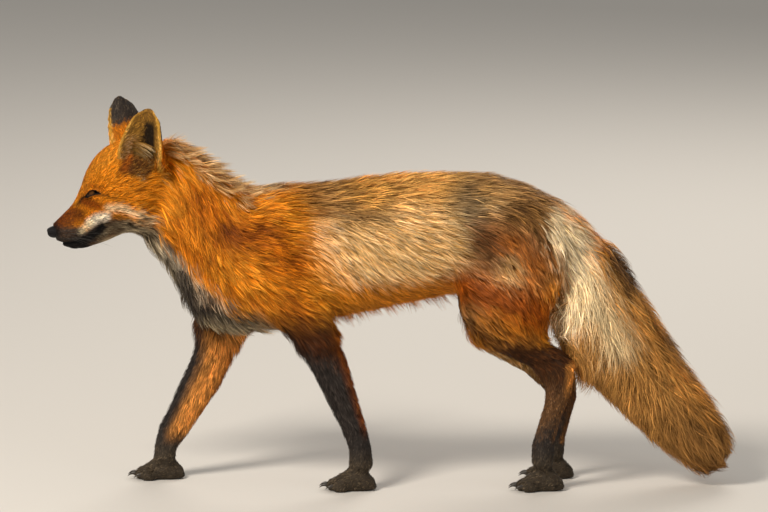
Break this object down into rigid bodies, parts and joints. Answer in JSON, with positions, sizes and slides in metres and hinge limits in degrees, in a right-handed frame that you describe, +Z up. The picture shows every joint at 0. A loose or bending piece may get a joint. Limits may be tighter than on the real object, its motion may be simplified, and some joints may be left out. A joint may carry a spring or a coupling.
{
  "type": "red fox",
  "caption": "Life-size still red fox stopped in a walking step, lean spring coat, brush held down, dark stockings, resting on the flat soles of its paws.",
  "frame": {"origin": "middle of the bounding box at the floor under the soles", "axes": "+Z up, the head points to -X, the left side of the animal faces -Y"},
  "size_m": [0.8558, 0.1366, 0.4864],
  "materials": {
    "coat_red": "orange-red guard hair over a paler underfur",
    "coat_grizzled": "grizzled hair: brown and grey bands with buff and white tips",
    "coat_buff": "buff and cream hair",
    "coat_dark": "short brown-black hair",
    "coat_tail": "long buff hair with dark tips",
    "nose_leather": "moist black leather",
    "eye": "glossy amber-brown eye with a dark upright pupil",
    "claw": "dark horn, semi-gloss",
    "whisker": "stiff black bristles"
  },
  "bodies": {
    "root": {"head": "coat_red", "lower_jaw": "coat_dark", "neck": "coat_red", "trunk": "coat_grizzled", "tail": "coat_tail", "nose": "nose_leather", "eye_left": "eye", "eye_right": "eye", "ear_left": "coat_buff", "ear_right": "coat_buff", "shoulder_left": "coat_red", "thigh_left": "coat_red", "forearm_left": "coat_dark", "forefoot_left": "coat_dark", "shank_left": "coat_dark", "hindfoot_left": "coat_dark", "shoulder_right": "coat_red", "thigh_right": "coat_red", "forearm_right": "coat_dark", "forefoot_right": "coat_dark", "shank_right": "coat_dark", "hindfoot_right": "coat_dark"}
  },
  "joints": []
}
